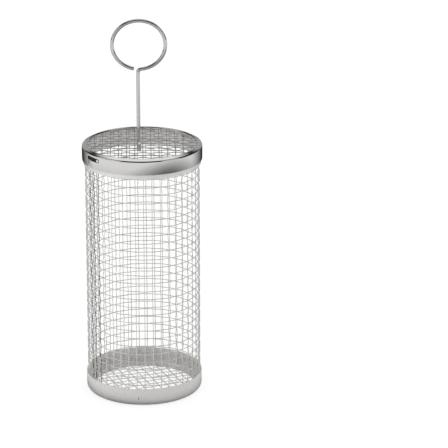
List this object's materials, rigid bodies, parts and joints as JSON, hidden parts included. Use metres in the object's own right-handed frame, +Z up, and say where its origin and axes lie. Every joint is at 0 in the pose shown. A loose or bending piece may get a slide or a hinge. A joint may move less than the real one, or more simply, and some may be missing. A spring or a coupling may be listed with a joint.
{
  "type": "basket strainer",
  "caption": "Round woven-wire mesh basket with a sheet foot ring, a bayonet lid of the same mesh in a pressed ring, and a wire lifting hook with a finger ring.",
  "frame": {"origin": "centre of the basket's underside, on the plane that the foot ring stands on", "axes": "+Z up along the basket's axis, -Y the front, which the finger ring faces, +X to the right seen from the front"},
  "size_m": [0.0934, 0.0934, 0.3003],
  "materials": {
    "mesh_wire": "drawn stainless wire, satin",
    "lid_sheet": "polished stainless sheet",
    "band_sheet": "satin stainless sheet",
    "peg_steel": "bright stainless rivet",
    "hook_wire": "drawn stainless wire, satin"
  },
  "bodies": {
    "basket": {"wall_mesh": "mesh_wire", "bottom_mesh": "mesh_wire", "bottom_ring": "band_sheet", "top_band": "band_sheet", "bayonet_peg_front": "peg_steel", "bayonet_peg_rear": "peg_steel"},
    "hook": {"lift_hook": "hook_wire"},
    "lid": {"lid_ring": "lid_sheet", "lid_mesh": "mesh_wire"}
  },
  "joints": [
    {"name": "lid_lift", "type": "slide", "parent": "basket", "child": "hook", "axis": [0, 0, 1], "range_m": [0, 0.06]},
    {"name": "lid_twist", "type": "hinge", "parent": "hook", "child": "lid", "pos_m": [0, 0, 0.2], "axis": [0, 0, 1], "range_deg": [0, 14]}
  ]
}
